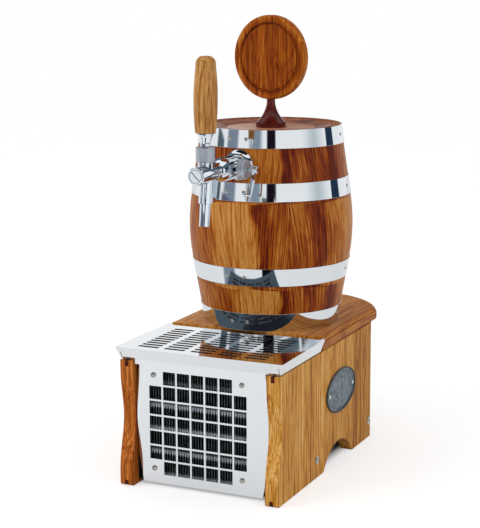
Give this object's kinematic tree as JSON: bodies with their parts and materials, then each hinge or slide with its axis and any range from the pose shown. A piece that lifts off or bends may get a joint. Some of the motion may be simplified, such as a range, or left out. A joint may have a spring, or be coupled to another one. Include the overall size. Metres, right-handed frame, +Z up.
{
  "type": "mini keg beer dispenser",
  "caption": "Table-top beer dispenser: hooped oak barrel with a keg well, chrome compensator tap, slotted drip tray and an oak base with a cooling unit behind a square-holed grille.",
  "frame": {"origin": "on the floor, under the middle of the whole object", "axes": "+Z up, -Y towards the tap and the grille, +X to the viewer's right when facing the tap"},
  "size_m": [0.2782, 0.503, 0.7118],
  "materials": {
    "base_oak": "oiled",
    "wall_oak": "oiled",
    "board_oak": "oiled",
    "barrel_oak": "varnished",
    "lid_oak": "varnished",
    "disc_oak": "varnished",
    "handle_oak": "varnished",
    "key_wood": "oiled",
    "dark_wood": "varnished",
    "polished_steel": "mirror",
    "hoop_steel": "mirror",
    "screw_steel": "satin",
    "brushed_panel": "brushed",
    "keg_steel": "satin",
    "black_steel": "satin",
    "motor_steel": "satin",
    "compressor_paint": "gloss",
    "fin_aluminium": "black coated",
    "tube_aluminium": "drawn",
    "copper": "satin",
    "tap_chrome": "polished",
    "knurled_chrome": "knurled",
    "badge_metal": "antique",
    "badge_rivet": "satin",
    "black_rubber": "matte",
    "fan_plastic": "matte",
    "control_plastic": "matte",
    "knob_plastic": "satin",
    "foam": "matte",
    "hose": "satin"
  },
  "bodies": {
    "lid": {"barrel_lid": "lid_oak", "medallion_foot": "dark_wood", "medallion_disc": "disc_oak"},
    "drip_pan": {"drip_pan": "brushed_panel"},
    "tray_cover": {"drip_tray_cover": "polished_steel"},
    "handle": {"handle_lever": "tap_chrome", "tap_handle": "handle_oak"},
    "piston": {"valve_piston": "tap_chrome", "valve_seal": "black_rubber"},
    "compensator": {"compensator_lever": "tap_chrome"},
    "cone": {"compensator_cone": "control_plastic"},
    "fan": {"fan_rotor": "fan_plastic"},
    "thermostat_knob": {"thermostat_knob": "knob_plastic"},
    "rocker": {"switch_rocker": "knob_plastic"},
    "base": {"side_panel_left": "base_oak", "side_panel_right": "base_oak", "rear_wall": "wall_oak", "top_board": "board_oak", "panel_keys": "key_wood", "front_plate": "polished_steel", "plate_screws": "screw_steel", "side_screws": "screw_steel", "chassis_pan": "black_steel", "condenser_fins": "fin_aluminium", "condenser_tubes": "tube_aluminium", "fan_shroud": "black_steel", "fan_motor": "motor_steel", "compressor": "compressor_paint", "compressor_mounts": "black_rubber", "refrigerant_lines": "copper", "filter_drier": "copper", "service_panel": "brushed_panel", "service_screws": "screw_steel", "thermostat": "control_plastic", "switch_housing": "control_plastic", "mains_inlet": "control_plastic", "badge_plate": "badge_metal", "badge_rivets": "badge_rivet", "barrel_staves": "barrel_oak", "hoop_1": "hoop_steel", "hoop_2": "hoop_steel", "hoop_3": "hoop_steel", "hoop_4": "hoop_steel", "hoop_rivets": "screw_steel", "barrel_floor": "barrel_oak", "keg_well": "brushed_panel", "insulation": "foam", "cooling_coil": "copper", "mini_keg": "keg_steel", "keg_coupler": "tap_chrome", "beer_line": "hose", "tap_shank": "tap_chrome", "shank_nut": "tap_chrome", "tap_rosette": "tap_chrome", "tap_body": "tap_chrome", "tap_front_cap": "tap_chrome", "handle_collar": "knurled_chrome", "spout_nozzle": "tap_chrome", "compensator_nut": "knurled_chrome"}
  },
  "joints": [
    {"name": "lid_lift", "type": "slide", "parent": "base", "child": "lid", "axis": [0, 0, 1], "range_m": [0, 0.08]},
    {"name": "pan_draw", "type": "slide", "parent": "base", "child": "drip_pan", "axis": [0, -1, 0], "range_m": [0, 0.14]},
    {"name": "cover_draw", "type": "slide", "parent": "drip_pan", "child": "tray_cover", "axis": [0, -1, 0], "range_m": [0, 0.12]},
    {"name": "tap_handle_tilt", "type": "hinge", "parent": "base", "child": "handle", "pos_m": [0, -0.2135, 0.517], "axis": [1, 0, 0], "range_deg": [0, 20]},
    {"name": "piston_slide", "type": "slide", "parent": "base", "child": "piston", "axis": [0, 1, 0], "range_m": [0, 0.0109]},
    {"name": "compensator_turn", "type": "hinge", "parent": "base", "child": "compensator", "pos_m": [0.03, -0.1415, 0.486], "axis": [-1, 0, 0], "range_deg": [-30, 90]},
    {"name": "cone_slide", "type": "slide", "parent": "base", "child": "cone", "axis": [0, 1, 0], "range_m": [-0.0014, 0.0042]},
    {"name": "fan_spin", "type": "hinge", "parent": "base", "child": "fan", "pos_m": [-0.0072, -0.1815, 0.09825], "axis": [0, 1, 0], "continuous": true},
    {"name": "thermostat_turn", "type": "hinge", "parent": "base", "child": "thermostat_knob", "pos_m": [-0.026, 0.229, 0.094], "axis": [0, 1, 0], "range_deg": [0, 270]},
    {"name": "switch_rock", "type": "hinge", "parent": "base", "child": "rocker", "pos_m": [0.026, 0.229, 0.094], "axis": [-1, 0, 0], "range_deg": [0, 18]}
  ],
  "couplings": [
    {"joint": "piston_slide", "follows": "tap_handle_tilt", "m_per_rad": 0.031},
    {"joint": "cone_slide", "follows": "compensator_turn", "m_per_rad": 0.0026}
  ]
}
